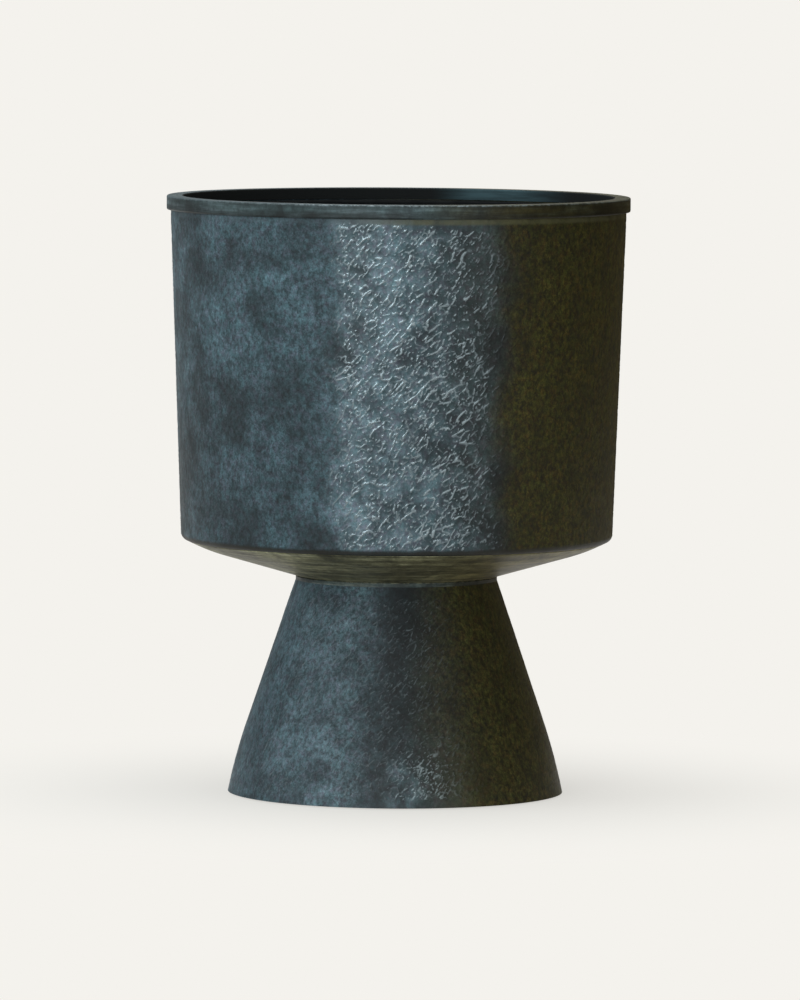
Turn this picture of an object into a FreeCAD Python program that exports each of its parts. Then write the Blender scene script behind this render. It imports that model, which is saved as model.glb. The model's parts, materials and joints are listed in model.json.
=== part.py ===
import FreeCAD, Part

import math
import os

from FreeCAD import Vector

# A pedestal planter: a wide, slightly tapered drum on a flared foot, joined at a narrow neck.
# Its shells are rolled or spun sheet metal. A plastic liner lifts out of the bowl, and a rubber
# plug closes the drain hole below it.
# Millimetres, +Z up. The origin is the centre of the circle that the pads stand on.
# -Y is the front, and +Y is the back, where the ends of each rolled sheet meet in a seam.

# Whole object. The drum's lower corner lies inset from the rim band and above the neck.
overall_height = 400.0
rim_radius = 155.0
drum_inset = 10.8
bowl_rise = 25.1
neck_height = 146.3
neck_radius = 67.4
foot_radius = 112.2

# Gaps between pieces that nest, seat or slide, and the overrun of every cut
nest_gap = 0.2
seat_gap = 0.3
slide_gap = 0.6
hole_gap = 0.3
thread_gap = 0.05
overrun = 5.0

# Rim band, a channel turned over the raw edge of the drum
rim_width = 11.0
band_height = 9.2
band_inner_height = 7.5
band_sheet = 2.4
rim_outer_round = 2.2
rim_inner_round = 1.2

# Hoop inside the rim band
hoop_height = 5.0

# Drum wall, a rolled textured sheet with its lower edge turned in
wall_sheet = 1.2
wall_corner_round = 4.4
wall_lip = 0.6

# Seams of the two rolled sheets, each closed by a strip on the inside
seam_gap = 0.4
seam_strip_width = 22.0
seam_strip_sheet = 1.0
seam_strip_end_gap = 1.5

# Bowl bottom, a shallow spun pan with a flange inside the drum wall
pan_sheet = 1.2
pan_flange_height = 14.0
pan_joggle_run = 1.8
pan_bend_round = 110.0
pan_bend_reach_share = 0.787
pan_bend_rise_share = 0.693
pan_neck_round = 3.0

# Drain hole through the bowl bottom, and the wider way through the neck below it
drain_hole_radius = 10.0
drain_way_radius = 18.0

# Neck ring between bowl and pedestal
neck_ring_height = 3.0
neck_ring_round = 0.7

# Pedestal shell, a rolled textured sheet that flares less towards the floor
pedestal_sheet = 1.5
pedestal_lift = 1.0
pedestal_bend_round = 400.0
pedestal_bend_height_share = 0.193
pedestal_bend_inset_share = 0.138

# Plate in the top of the pedestal
top_plate_sheet = 3.0

# Ring in the bottom of the pedestal, and the pads under it
foot_ring_sheet = 3.0
foot_ring_width = 22.0
pad_count = 4
pad_height = 4.0
pad_radius = 8.0
pad_round = 0.8

# Bolts that clamp pan, neck ring and top plate together
bolt_count = 3
bolt_circle_radius = 45.0
bolt_radius = 3.0
bolt_end_length = 2.5
hex_across_flats = 10.0
hex_bevel = 0.8
bolt_head_height = 4.0
nut_height = 5.0
bolt_washer_radius = 9.0
bolt_washer_sheet = 1.2
sealing_washer_radius = 8.0
sealing_washer_sheet = 1.5
nut_washer_radius = 6.5
nut_washer_sheet = 1.2

# Drain plug
plug_cap_radius = 15.0
plug_cap_height = 2.5
plug_cap_round = 1.0
plug_shank_depth = 3.0
plug_shank_bevel = 0.8
plug_tab_height = 5.0
plug_tab_width = 12.0
plug_tab_thickness = 3.5
plug_tab_round = 1.0

# Liner, a moulded pot whose bevelled foot stands on the slope of the pan
liner_wall = 2.0
liner_top_drop = 8.0
liner_lip_height = 9.0
liner_lip_width = 5.9
liner_lip_inner_round = 0.4
liner_bend_gap = 0.4
liner_base_round = 3.0
liner_bevel_width = 8.0
liner_foot_width = 13.0
liner_dome_height = 5.0
liner_dome_run = 4.0

full_turn = 360.0
quarter_turn = 90.0
hex_sides = 6


# Points and directions in the plane of a section, as (radius, height)

def heading(start, end):
    length = math.dist(start, end)
    return (end[0] - start[0]) / length, (end[1] - start[1]) / length


def left_of(direction):
    return -direction[1], direction[0]


def moved(point, direction, distance):
    return point[0] + direction[0] * distance, point[1] + direction[1] * distance


def turn_between(first, second):
    """The angle from the first heading to the second, positive to the left."""
    cross = first[0] * second[1] - first[1] * second[0]
    dot = first[0] * second[0] + first[1] * second[1]
    return math.atan2(cross, dot)


def reach_of_round(radius, turn):
    """How far from a corner its arc begins."""
    return radius * math.tan(abs(turn) / 2)


def headings_of(points):
    return [heading(one, two) for one, two in zip(points, points[1:])]


def beside(points, distance):
    """The run that lies distance to the left of points."""
    headings = headings_of(points)
    result = [moved(points[0], left_of(headings[0]), distance)]
    for corner, first, second in zip(points[1:], headings, headings[1:]):
        shift = distance * math.tan(turn_between(first, second) / 2)
        result.append(moved(moved(corner, left_of(first), distance), first, -shift))
    result.append(moved(points[-1], left_of(headings[-1]), distance))
    return result


def rounds_beside(points, rounds, distance):
    """The corner radii of the run that lies distance to the left of points."""
    headings = headings_of(points)
    result = []
    for radius, first, second in zip(rounds, headings, headings[1:]):
        grows = turn_between(first, second) < 0
        result.append(radius + distance if grows else max(radius - distance, 0))
    return result


def lengthened(points, distance):
    """The run with both of its ends drawn out by distance."""
    headings = headings_of(points)
    first = moved(points[0], headings[0], -distance)
    last = moved(points[-1], headings[-1], distance)
    return [first, *points[1:-1], last]


def radius_at(points, height):
    """The radius at which a run that rises all the way passes a height."""
    for low, high in zip(points, points[1:]):
        if height <= high[1]:
            break
    share = (height - low[1]) / (high[1] - low[1])
    return low[0] + share * (high[0] - low[0])


# Edges, faces and solids

def in_space(point):
    return Vector(point[0], 0, point[1])


def straight(start, end):
    return Part.LineSegment(in_space(start), in_space(end)).toShape()


def rounded_run(points, rounds):
    """Edges along points, with an arc at each inner point that has a radius."""
    edges = []
    here = points[0]
    for before, corner, after, radius in zip(points, points[1:], points[2:], rounds):
        first, second = heading(before, corner), heading(corner, after)
        turn = turn_between(first, second)
        reach = reach_of_round(radius, turn)
        start, end = moved(corner, first, -reach), moved(corner, second, reach)
        edges.append(straight(here, start))
        here = end
        if radius > 0:
            inward = heading(corner, moved(start, second, reach))
            middle = moved(corner, inward, radius / math.cos(turn / 2) - radius)
            edges.append(Part.Arc(in_space(start), in_space(middle), in_space(end)).toShape())
    edges.append(straight(here, points[-1]))
    return edges


def face_within(edges):
    return Part.Face(Part.Wire(Part.sortEdges(edges)[0]))


def section(points, rounds):
    """A closed section through points, with a radius for each inner one."""
    return face_within([*rounded_run(points, rounds), straight(points[-1], points[0])])


def sheet_section(points, rounds, thickness):
    """The section of a bent sheet whose one side follows points, with the sheet on their left."""
    other = beside(points, thickness)
    edges = rounded_run(points, rounds)
    edges += rounded_run(other, rounds_beside(points, rounds, thickness))
    edges += [straight(points[0], other[0]), straight(points[-1], other[-1])]
    return face_within(edges)


def swept(face, angle):
    """The solid that the face sweeps about the axis, with its middle at the back."""
    start = face.copy()
    start.rotate(Vector(), Vector(0, 0, 1), quarter_turn - angle / 2)
    return start.revolve(Vector(), Vector(0, 0, 1), angle)


def turned(face):
    return swept(face, full_turn)


def rolled(face, seam_radius):
    """The face swept all round but for the seam gap at the back."""
    gap = math.degrees(seam_gap / seam_radius)
    solid = swept(face, full_turn - gap)
    solid.rotate(Vector(), Vector(0, 0, 1), full_turn / 2)
    return solid


def disc(inner_radius, outer_radius, low, high, low_round=0, high_round=0):
    """A flat ring, or a full disc where its inner radius is zero."""
    corners = [(inner_radius, low), (outer_radius, low), (outer_radius, high), (inner_radius, high)]
    return turned(section(corners, [low_round, high_round]))


def between(solid, low, high):
    """The part of a solid that lies between two heights."""
    box = solid.BoundBox
    side = 2 * box.DiagonalLength
    slab = Part.makeBox(side, side, high - low, Vector(-side / 2, -side / 2, low))
    return solid.common(slab)


def on_circle(radius, count, first_angle):
    places = []
    for step in range(count):
        angle = math.radians(first_angle + step * full_turn / count)
        places.append(Vector(radius * math.cos(angle), radius * math.sin(angle), 0))
    return places


def copies(solid, places):
    return Part.makeCompound([solid.translated(place) for place in places])


def drilled(solid, radius, places):
    """The solid with a round hole, right through, at each place."""
    box = solid.BoundBox
    for place in places:
        low = Vector(place.x, place.y, box.ZMin - overrun)
        solid = solid.cut(Part.makeCylinder(radius, box.ZLength + 2 * overrun, low))
    return solid


def hex_block(low, height):
    """A hexagonal head or nut with its upper corners bevelled."""
    corner_radius = hex_across_flats / 2 / math.cos(math.pi / hex_sides)
    corners = on_circle(corner_radius, hex_sides, 0)
    outline = Part.makePolygon([*corners, corners[0]])
    outline.translate(Vector(0, 0, low))
    prism = Part.Face(outline).extrude(Vector(0, 0, height))
    high = low + height
    bevel = [
        (0, low),
        (corner_radius, low),
        (corner_radius, high - hex_bevel),
        (corner_radius - hex_bevel, high),
        (0, high),
    ]
    return prism.common(turned(section(bevel, [0, 0, 0])))


# Lines and heights worked out from the driving sizes

rim_inner_radius = rim_radius - rim_width
wall_top = (rim_radius - band_sheet - nest_gap, overall_height - band_sheet)
drum_corner = (rim_radius - drum_inset, neck_height + bowl_rise)
neck_edge = (neck_radius, neck_height)
pan_bend = (
    neck_radius + pan_bend_reach_share * (drum_corner[0] - neck_radius),
    neck_height + pan_bend_rise_share * bowl_rise,
)
bowl_line = [pan_bend, drum_corner, wall_top]
bowl_headings = headings_of(bowl_line)
wall_lip_reach = reach_of_round(wall_corner_round, turn_between(*bowl_headings)) + wall_lip
wall_lip_end = moved(drum_corner, bowl_headings[0], -wall_lip_reach)
wall_inside = beside([drum_corner, wall_top], wall_sheet)
hoop_low = wall_top[1] - hoop_height

pan_floor = neck_height + pan_sheet
pan_slope = heading(neck_edge, pan_bend)
pan_bend_start = moved(
    pan_bend,
    pan_slope,
    -reach_of_round(pan_bend_round, turn_between(pan_slope, bowl_headings[0])),
)

neck_ring_low = neck_height - neck_ring_height
top_plate_low = neck_ring_low - top_plate_sheet
foot_ring_high = pad_height + foot_ring_sheet
pedestal_top = (neck_radius, neck_ring_low)
pedestal_foot = (foot_radius, pedestal_lift)
pedestal_bend = (
    foot_radius - pedestal_bend_inset_share * (foot_radius - neck_radius),
    pedestal_lift + pedestal_bend_height_share * (neck_ring_low - pedestal_lift),
)
pedestal_line = [pedestal_foot, pedestal_bend, pedestal_top]
pedestal_inside = beside(pedestal_line, pedestal_sheet)
foot_ring_radius = radius_at(pedestal_inside, foot_ring_high) - nest_gap

bolt_places = on_circle(bolt_circle_radius, bolt_count, quarter_turn)
bolt_hole_radius = bolt_radius + hole_gap
bolt_head_low = pan_floor + sealing_washer_sheet + bolt_washer_sheet
nut_high = top_plate_low - nut_washer_sheet


# Bowl

def rim_band():
    outer_low = (rim_radius, overall_height - band_height)
    outer_high = (rim_radius, overall_height)
    inner_high = (rim_inner_radius, overall_height)
    inner_low = (rim_inner_radius, overall_height - band_inner_height)
    line = [outer_low, outer_high, inner_high, inner_low]
    return turned(sheet_section(line, [rim_outer_round, rim_inner_round], band_sheet))


def rim_hoop():
    inner_radius = rim_inner_radius + band_sheet + nest_gap
    outer_radius = radius_at(wall_inside, hoop_low) - nest_gap
    return disc(inner_radius, outer_radius, hoop_low, wall_top[1])


def drum_wall():
    above_top = moved(wall_top, bowl_headings[1], overrun)
    line = [wall_lip_end, drum_corner, above_top]
    wall = rolled(sheet_section(line, [wall_corner_round], wall_sheet), drum_corner[0])
    return between(wall, 0, wall_top[1])


def seam_strip(line, rounds, low, high):
    """A strip inside a rolled sheet whose inner side follows line, across its seam."""
    outside = beside(line, nest_gap)
    face = sheet_section(outside, rounds_beside(line, rounds, nest_gap), seam_strip_sheet)
    angle = math.degrees(seam_strip_width / radius_at(line, high))
    return between(swept(face, angle), low, high)


def drum_seam_strip():
    low = drum_corner[1] + pan_flange_height + seam_strip_end_gap
    return seam_strip(wall_inside, [], low, hoop_low - seam_strip_end_gap)


def bowl_bottom():
    nest = wall_sheet + nest_gap
    nested_line = beside(bowl_line, nest)
    flange_top = moved(nested_line[1], bowl_headings[1], pan_flange_height)
    joggle_low = moved(wall_lip_end, bowl_headings[0], -pan_joggle_run)
    joggle_high = moved(wall_lip_end, left_of(bowl_headings[0]), nest)
    hole_edge = (drain_hole_radius, neck_height)
    line = [hole_edge, neck_edge, pan_bend, joggle_low, joggle_high, nested_line[1], flange_top]
    rounds = [pan_neck_round, pan_bend_round, 0, 0, wall_corner_round - nest]
    return drilled(turned(sheet_section(line, rounds, pan_sheet)), bolt_hole_radius, bolt_places)


# Neck and pedestal

def neck_ring():
    ring = disc(drain_way_radius, neck_radius, neck_ring_low, neck_height, 0, neck_ring_round)
    return drilled(ring, bolt_hole_radius, bolt_places)


def pedestal_shell():
    line = lengthened(pedestal_line, overrun)
    shell = rolled(sheet_section(line, [pedestal_bend_round], pedestal_sheet), neck_radius)
    return between(shell, pedestal_lift, neck_ring_low)


def pedestal_seam_strip():
    rounds = rounds_beside(pedestal_line, [pedestal_bend_round], pedestal_sheet)
    low = foot_ring_high + seam_strip_end_gap
    return seam_strip(pedestal_inside, rounds, low, top_plate_low - seam_strip_end_gap)


def pedestal_top_plate():
    outer_radius = radius_at(pedestal_inside, neck_ring_low) - nest_gap
    plate = disc(drain_way_radius, outer_radius, top_plate_low, neck_ring_low)
    return drilled(plate, bolt_hole_radius, bolt_places)


def foot_ring():
    return disc(foot_ring_radius - foot_ring_width, foot_ring_radius, pad_height, foot_ring_high)


def foot_pads():
    circle_radius = foot_ring_radius - foot_ring_width / 2
    places = on_circle(circle_radius, pad_count, quarter_turn / 2)
    return copies(disc(0, pad_radius, 0, pad_height, pad_round), places)


# Fasteners

def neck_bolts():
    end = nut_high - nut_height - bolt_end_length
    shank = disc(0, bolt_radius, end, bolt_head_low + bolt_head_height / 2)
    return copies(hex_block(bolt_head_low, bolt_head_height).fuse(shank), bolt_places)


def bolt_washers():
    low = pan_floor + sealing_washer_sheet
    washer = disc(bolt_hole_radius, bolt_washer_radius, low, bolt_head_low)
    return copies(washer, bolt_places)


def sealing_washers():
    high = pan_floor + sealing_washer_sheet
    washer = disc(bolt_radius + thread_gap, sealing_washer_radius, pan_floor, high)
    return copies(washer, bolt_places)


def nut_washers():
    washer = disc(bolt_hole_radius, nut_washer_radius, nut_high, top_plate_low)
    return copies(washer, bolt_places)


def neck_nuts():
    nut = hex_block(nut_high - nut_height, nut_height)
    return copies(drilled(nut, bolt_radius + thread_gap, [Vector()]), bolt_places)


# Pieces that come out

def drain_plug():
    shank_radius = drain_hole_radius - hole_gap
    shank_low = neck_height - plug_shank_depth
    cap_high = pan_floor + plug_cap_height
    line = [
        (0, shank_low),
        (shank_radius - plug_shank_bevel, shank_low),
        (shank_radius, shank_low + plug_shank_bevel),
        (shank_radius, pan_floor),
        (plug_cap_radius, pan_floor),
        (plug_cap_radius, cap_high),
        (0, cap_high),
    ]
    plug = turned(section(line, [0, 0, 0, 0, plug_cap_round]))
    corner = Vector(-plug_tab_width / 2, -plug_tab_thickness / 2, pan_floor)
    tab_height = plug_cap_height + plug_tab_height
    tab = Part.makeBox(plug_tab_width, plug_tab_thickness, tab_height, corner)
    top_edges = [edge for edge in tab.Edges if edge.BoundBox.ZMin > cap_high]
    return plug.fuse(tab.makeFillet(plug_tab_round, top_edges))


def liner():
    lip_radius = rim_inner_radius - slide_gap
    top = overall_height - liner_top_drop
    under_lip = top - liner_wall
    bevel_high = moved(pan_bend_start, left_of(pan_slope), pan_sheet + seat_gap)
    bevel_high = moved(bevel_high, pan_slope, -liner_bend_gap)
    bevel_low = moved(bevel_high, pan_slope, -liner_bevel_width)
    foot_inner = bevel_low[0] - liner_foot_width
    dome_low = bevel_low[1] + liner_dome_height
    line = [
        (0, dome_low),
        (foot_inner - liner_dome_run, dome_low),
        (foot_inner, bevel_low[1]),
        bevel_low,
        bevel_high,
        (lip_radius - liner_lip_width, under_lip),
        (lip_radius - liner_wall, under_lip),
        (lip_radius - liner_wall, top - liner_lip_height),
    ]
    lip_rounds = [liner_lip_inner_round, liner_lip_inner_round]
    return turned(sheet_section(line, [0, 0, 0, liner_base_round, *lip_rounds], liner_wall))


pieces = [
    rim_band,
    rim_hoop,
    drum_wall,
    drum_seam_strip,
    bowl_bottom,
    neck_ring,
    pedestal_shell,
    pedestal_seam_strip,
    pedestal_top_plate,
    foot_ring,
    foot_pads,
    neck_bolts,
    bolt_washers,
    sealing_washers,
    nut_washers,
    neck_nuts,
    drain_plug,
    liner,
]

os.makedirs("parts", exist_ok=True)
for piece in pieces:
    piece().exportStep(f"parts/{piece.__name__}.step")
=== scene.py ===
import json
import math

import bpy
import numpy as np
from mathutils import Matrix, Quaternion, Vector


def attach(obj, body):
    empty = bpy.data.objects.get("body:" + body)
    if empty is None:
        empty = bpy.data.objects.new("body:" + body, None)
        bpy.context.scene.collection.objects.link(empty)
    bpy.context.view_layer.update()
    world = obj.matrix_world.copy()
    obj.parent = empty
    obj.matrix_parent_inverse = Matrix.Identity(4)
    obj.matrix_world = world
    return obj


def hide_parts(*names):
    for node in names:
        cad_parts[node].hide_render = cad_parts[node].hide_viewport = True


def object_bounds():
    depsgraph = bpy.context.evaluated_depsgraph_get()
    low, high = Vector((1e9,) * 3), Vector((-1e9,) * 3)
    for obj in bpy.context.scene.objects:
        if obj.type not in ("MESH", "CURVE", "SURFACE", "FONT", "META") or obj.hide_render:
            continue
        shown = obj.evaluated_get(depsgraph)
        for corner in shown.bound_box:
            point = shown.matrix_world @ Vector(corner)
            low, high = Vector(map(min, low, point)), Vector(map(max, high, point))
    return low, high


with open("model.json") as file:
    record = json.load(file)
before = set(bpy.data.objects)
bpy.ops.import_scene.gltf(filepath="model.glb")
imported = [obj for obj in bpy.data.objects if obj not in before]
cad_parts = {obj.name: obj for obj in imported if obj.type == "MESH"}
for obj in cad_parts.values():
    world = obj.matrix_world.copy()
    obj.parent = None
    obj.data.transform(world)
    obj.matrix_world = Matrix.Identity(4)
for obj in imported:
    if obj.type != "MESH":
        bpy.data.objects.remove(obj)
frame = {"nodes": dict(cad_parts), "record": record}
cad_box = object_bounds()

# Sizes of the sheets in millimetres, as the solids have them. The rim's radius and top are the limits of the
# frame's box, to a tenth of a millimetre. Points of a section are (radius, height). Meshes are in metres.
MM = 0.001
RIM_RADIUS = round(-cad_box[0][1] / MM, 1)
RIM_TOP = round(cad_box[1][2] / MM, 1)
BAND_HEIGHT = 9.2
BAND_WIDTH = 11.0
BAND_INNER_HEIGHT = 7.5
BAND_SHEET = 2.4
BAND_ROUNDS = (0.8, 1.0)
BAND_ROUND_STEP = 0.2
BAND_CHAMFER = 1.2
BAND_TRIM = 0.05
DRUM_CORNER = (144.2, 171.4)
WALL_TOP = (RIM_RADIUS - 2.6, RIM_TOP - BAND_SHEET)
WALL_SHEET = 1.2
WALL_CORNER_ROUND = 4.4
WALL_LIP = 0.6
PAN_BEND = (127.84, 163.69)
PEDESTAL_TOP = (67.4, 143.3)
PEDESTAL_FOOT = (112.2, 1.0)
PEDESTAL_BEND = (106.02, 28.46)
PEDESTAL_BEND_ROUND = 400.0
PEDESTAL_SHEET = 1.5
SEAM_GAP = 0.01

# Relief of the textured sheets, in millimetres: chains of ridges between uneven plates, and short strokes
# between smaller ones. Each ridge has a mark by chance, from 0 to 1. Below left_out it is missing, above
# whole_from it has few gaps, and its strength is faintest plus gain times the mark. Where it runs across the
# grain it keeps the share crosswise of that. A gap is where a noise is below gap_start, and none is above
# GAP_END.
RELIEF_STEP = 0.5
RIDGE_HEIGHT = 0.42
RIDGE_WIDTH = 0.64
GRAIN_ANGLE = math.radians(50)
GRAIN_STRETCH = 1.6
PLATE_SPREAD = 0.86
PLATE_BENDING = 0.3
GAP_END = 0.2
FEWER_GAPS = 0.45
CHAINS = dict(
    size=5.2, width=1.0, gap_size=1.15, gap_start=-0.15, whole_from=0.68,
    left_out=0.15, faintest=0.55, gain=0.4, crosswise=0.4)
STROKES = dict(
    size=2.7, width=0.85, gap_size=1.0, gap_start=-0.2, whole_from=1.0,
    left_out=0.3, faintest=0.35, gain=0.65, crosswise=0.45)

# How the sheets' meshes are made: every so many rows on the plain inner side, the share of faces kept where
# flat parts are thinned, the angle in degrees from which an edge looks sharp, and how many millimetres
# within the outer side a point still counts as on it
INNER_EVERY = 24
THIN_RATIO = 0.27
SHEET_SHARP = 55
RING_SHARP = 40
OUTSIDE_SLACK = 0.3

# Places in the baked texture, from 0 to 1: its margin, the end of the outer side, the inner side from end to
# end, and the closed ends at the seam
UV_EDGE = 0.004
UV_OUTER_END = 0.93
UV_INNER = (0.935, 0.99)
UV_SEAM_ENDS = 0.9985

BACKGROUND = (0.905, 0.888, 0.847)


# Numbers that repeat on every run

def chance(i, j, seed):
    """A number from 0 to 1 for each pair of whole numbers."""
    return np.modf(np.abs(np.sin(i * 127.1 + j * 311.7 + seed * 74.7) * 43758.5453))[0]


def cloud(x, y, size, seed):
    """Smooth noise from -1 to 1 whose lumps are about size across."""
    x, y = x / size, y / size
    i, j = np.floor(x), np.floor(y)
    a, b = x - i, y - j
    a, b = a * a * (3 - 2 * a), b * b * (3 - 2 * b)
    low = chance(i, j, seed) * (1 - a) + chance(i + 1, j, seed) * a
    high = chance(i, j + 1, seed) * (1 - a) + chance(i + 1, j + 1, seed) * a
    return 2 * (low * (1 - b) + high * b) - 1


def smooth_step(value, low, high):
    """From 0 at low to 1 at high, level at both ends."""
    t = np.clip((value - low) / (high - low), 0, 1)
    return t * t * (3 - 2 * t)


def network(x, y, size, seed):
    """For the nearest edge between uneven plates: its distance, its mark from 0 to 1, and how far it runs
    along x, from 0 to 1."""
    bent_x = x + PLATE_BENDING * size * cloud(x, y, 0.9 * size, seed + 1)
    bent_y = y + PLATE_BENDING * size * cloud(x, y, 0.9 * size, seed + 2)
    gx, gy = bent_x / size, bent_y / size
    i0, j0 = np.floor(gx), np.floor(gy)
    near, far = [], []
    for dj in range(-2, 3):
        for di in range(-2, 3):
            i, j = i0 + di, j0 + dj
            px = i + 0.5 + PLATE_SPREAD * (chance(i, j, seed) - 0.5)
            py = j + 0.5 + PLATE_SPREAD * (chance(i, j, seed + 3) - 0.5)
            (near if max(abs(di), abs(dj)) < 2 else far).append((px, py))
    nearest = np.full(gx.shape, 1e9)
    bx, by = np.zeros_like(gx), np.zeros_like(gx)
    for px, py in near:
        d = (px - gx) ** 2 + (py - gy) ** 2
        closer = d < nearest
        nearest = np.where(closer, d, nearest)
        bx, by = np.where(closer, px, bx), np.where(closer, py, by)
    edge = np.full(gx.shape, 1e9)
    mark, along = np.zeros_like(gx), np.zeros_like(gx)
    for px, py in near + far:
        apart = np.hypot(px - bx, py - by) + 1e-9
        d = (((px + bx) / 2 - gx) * (px - bx) + ((py + by) / 2 - gy) * (py - by)) / apart
        closer = (apart > 1e-6) & (d < edge)
        edge = np.where(closer, d, edge)
        mark = np.where(closer, px + bx + 3.7 * (py + by), mark)
        along = np.where(closer, np.abs(py - by) / apart, along)
    return edge * size, np.modf(np.abs(np.sin(mark * 91.7) * 4375.85))[0], along


def broken_lines(x, y, width, dense, seed, style):
    """Ridges on the edges between plates, broken by gaps where dense is low, from 0 to 1."""
    edge, mark, along = network(x, y, style["size"], seed)
    whole = np.where(mark > style["whole_from"], FEWER_GAPS, 0.0)
    holding = cloud(x, y, style["gap_size"], seed + 6) + whole + dense
    gaps = smooth_step(holding, style["gap_start"], GAP_END)
    strength = np.where(mark < style["left_out"], 0.0, style["faintest"] + style["gain"] * mark)
    strength = strength * gaps * (style["crosswise"] + (1 - style["crosswise"]) * along)
    return strength * np.exp(-((edge / (style["width"] * width)) ** 2))


def ridges(x, y, seed):
    """Raised broken ridges, most of them along the grain, from 0 to 1."""
    c, s = math.cos(GRAIN_ANGLE), math.sin(GRAIN_ANGLE)
    x, y = (c * x + s * y) / GRAIN_STRETCH, c * y - s * x
    width = RIDGE_WIDTH * (1 + 0.25 * cloud(x, y, 3.1, seed + 5))
    dense = 0.3 * cloud(x, y, 8, seed + 7)
    chains = broken_lines(x, y, width, dense, seed, CHAINS)
    strokes = broken_lines(x, y, width, dense, seed + 20, STROKES)
    return np.maximum(chains, strokes)


# Runs in the plane of a section

def rounded(points, rounds, step):
    """Points about step apart along a run with rounded corners."""
    points = [np.array(p, float) for p in points]
    parts, here = [], points[0]
    for before, corner, after, radius in zip(points, points[1:], points[2:], rounds):
        first = (corner - before) / np.linalg.norm(corner - before)
        second = (after - corner) / np.linalg.norm(after - corner)
        turn = math.atan2(first[0] * second[1] - first[1] * second[0], first @ second)
        reach = radius * math.tan(abs(turn) / 2)
        start = corner - first * reach
        parts.append((here, start, None, 0))
        side = np.array([-first[1], first[0]]) * math.copysign(1, turn)
        parts.append((start, None, start + side * radius, turn))
        here = corner + second * reach
    parts.append((here, points[-1], None, 0))
    out = [points[0]]
    for start, end, centre, turn in parts:
        if centre is None:
            count = max(1, round(np.linalg.norm(end - start) / step))
            out += [start + (end - start) * k / count for k in range(1, count + 1)]
        elif abs(turn) > 1e-6:
            arm = start - centre
            count = max(2, round(abs(turn) * np.linalg.norm(arm) / step))
            for k in range(1, count + 1):
                c, s = math.cos(turn * k / count), math.sin(turn * k / count)
                out.append(centre + np.array([c * arm[0] - s * arm[1], s * arm[0] + c * arm[1]]))
    return np.array(out)


def right_of(run):
    """The direction to the right of the run at each of its points."""
    along = np.gradient(run, axis=0)
    along /= np.linalg.norm(along, axis=1)[:, None]
    return np.stack([along[:, 1], -along[:, 0]], 1)


def lengths_along(run):
    """How far along the run each of its points is."""
    return np.concatenate([[0], np.cumsum(np.linalg.norm(np.diff(run, axis=0), axis=1))])


# Meshes

def new_object(name, vertices, faces, corners, uv=None):
    """A mesh object from arrays: all corners in one list, and how many each face has."""
    mesh = bpy.data.meshes.new(name)
    mesh.vertices.add(len(vertices))
    mesh.vertices.foreach_set("co", np.asarray(vertices, np.float32).ravel())
    mesh.loops.add(len(corners))
    mesh.loops.foreach_set("vertex_index", np.asarray(corners, np.int32))
    starts = np.concatenate([[0], np.cumsum(faces)[:-1]])
    mesh.polygons.add(len(faces))
    mesh.polygons.foreach_set("loop_start", starts.astype(np.int32))
    mesh.update(calc_edges=True)
    if uv is not None:
        layer = mesh.uv_layers.new(name="OFBake")
        layer.data.foreach_set("uv", np.asarray(uv, np.float32).ravel())
    mesh.validate()
    piece = bpy.data.objects.new(name, mesh)
    bpy.context.scene.collection.objects.link(piece)
    return piece


def half_gap_angle(gap_radius):
    """Half the seam gap as an angle at the radius."""
    return SEAM_GAP / gap_radius / 2


def around_axis(angles, section):
    """Points of the section, one row of it for each angle from the back, in metres."""
    turn = angles[:, None]
    x = section[..., 0] * np.sin(turn)
    y = section[..., 0] * np.cos(turn)
    return np.stack([x, y, section[..., 1]], -1).reshape(-1, 3) * MM


def quads_between(one, two):
    """Faces between two sets of closed sections, given by the numbers of their points."""
    return np.stack([one, two, np.roll(two, -1, 1), np.roll(one, -1, 1)], -1).reshape(-1, 4)


def shell_uv(around, outer_count, inner_count):
    """Texture places of a shell's faces, and then of its two ends at the seam."""
    outer_share = np.linspace(UV_EDGE, UV_OUTER_END, outer_count)
    inner_share = np.linspace(*UV_INNER, inner_count)
    v = np.concatenate([outer_share, inner_share])
    v_next = np.append(v[1:], 1 - UV_EDGE)
    u = np.linspace(UV_EDGE, 1 - UV_EDGE, around)
    low = np.broadcast_to(v, (around - 1, len(v)))
    high = np.broadcast_to(v_next, low.shape)
    left = np.broadcast_to(u[:-1, None], low.shape)
    right = np.broadcast_to(u[1:, None], low.shape)
    faces = np.stack([left, low, right, low, right, high, left, high], -1).reshape(-1, 2)
    return np.concatenate([faces, np.full((2 * len(v), 2), UV_SEAM_ENDS)])


def sheet_shell(name, outer, relief, sheet, gap_radius):
    """A rolled sheet with relief on its outer side, closed but for the seam gap at the back."""
    columns = len(relief)
    facing = right_of(outer)
    half_gap = half_gap_angle(gap_radius)
    angles = np.linspace(half_gap, 2 * math.pi - half_gap, columns)
    inner = (outer - facing * sheet)[::-1]
    inner = inner[np.unique(np.append(np.arange(0, len(inner), INNER_EVERY), len(inner) - 1))]
    raised = outer[None] + facing[None] * relief[..., None]
    section = np.concatenate([raised, np.repeat(inner[None], columns, 0)], 1)
    around, through = section.shape[:2]
    index = np.arange(around * through).reshape(around, through)
    quads = quads_between(index[:-1], index[1:])
    faces = np.concatenate([np.full(len(quads), 4), [through, through]])
    corners = np.concatenate([quads.ravel(), index[0][::-1], index[-1]])
    uv = shell_uv(around, len(outer), len(inner))
    return new_object(name, around_axis(angles, section), faces, corners, uv)


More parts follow.
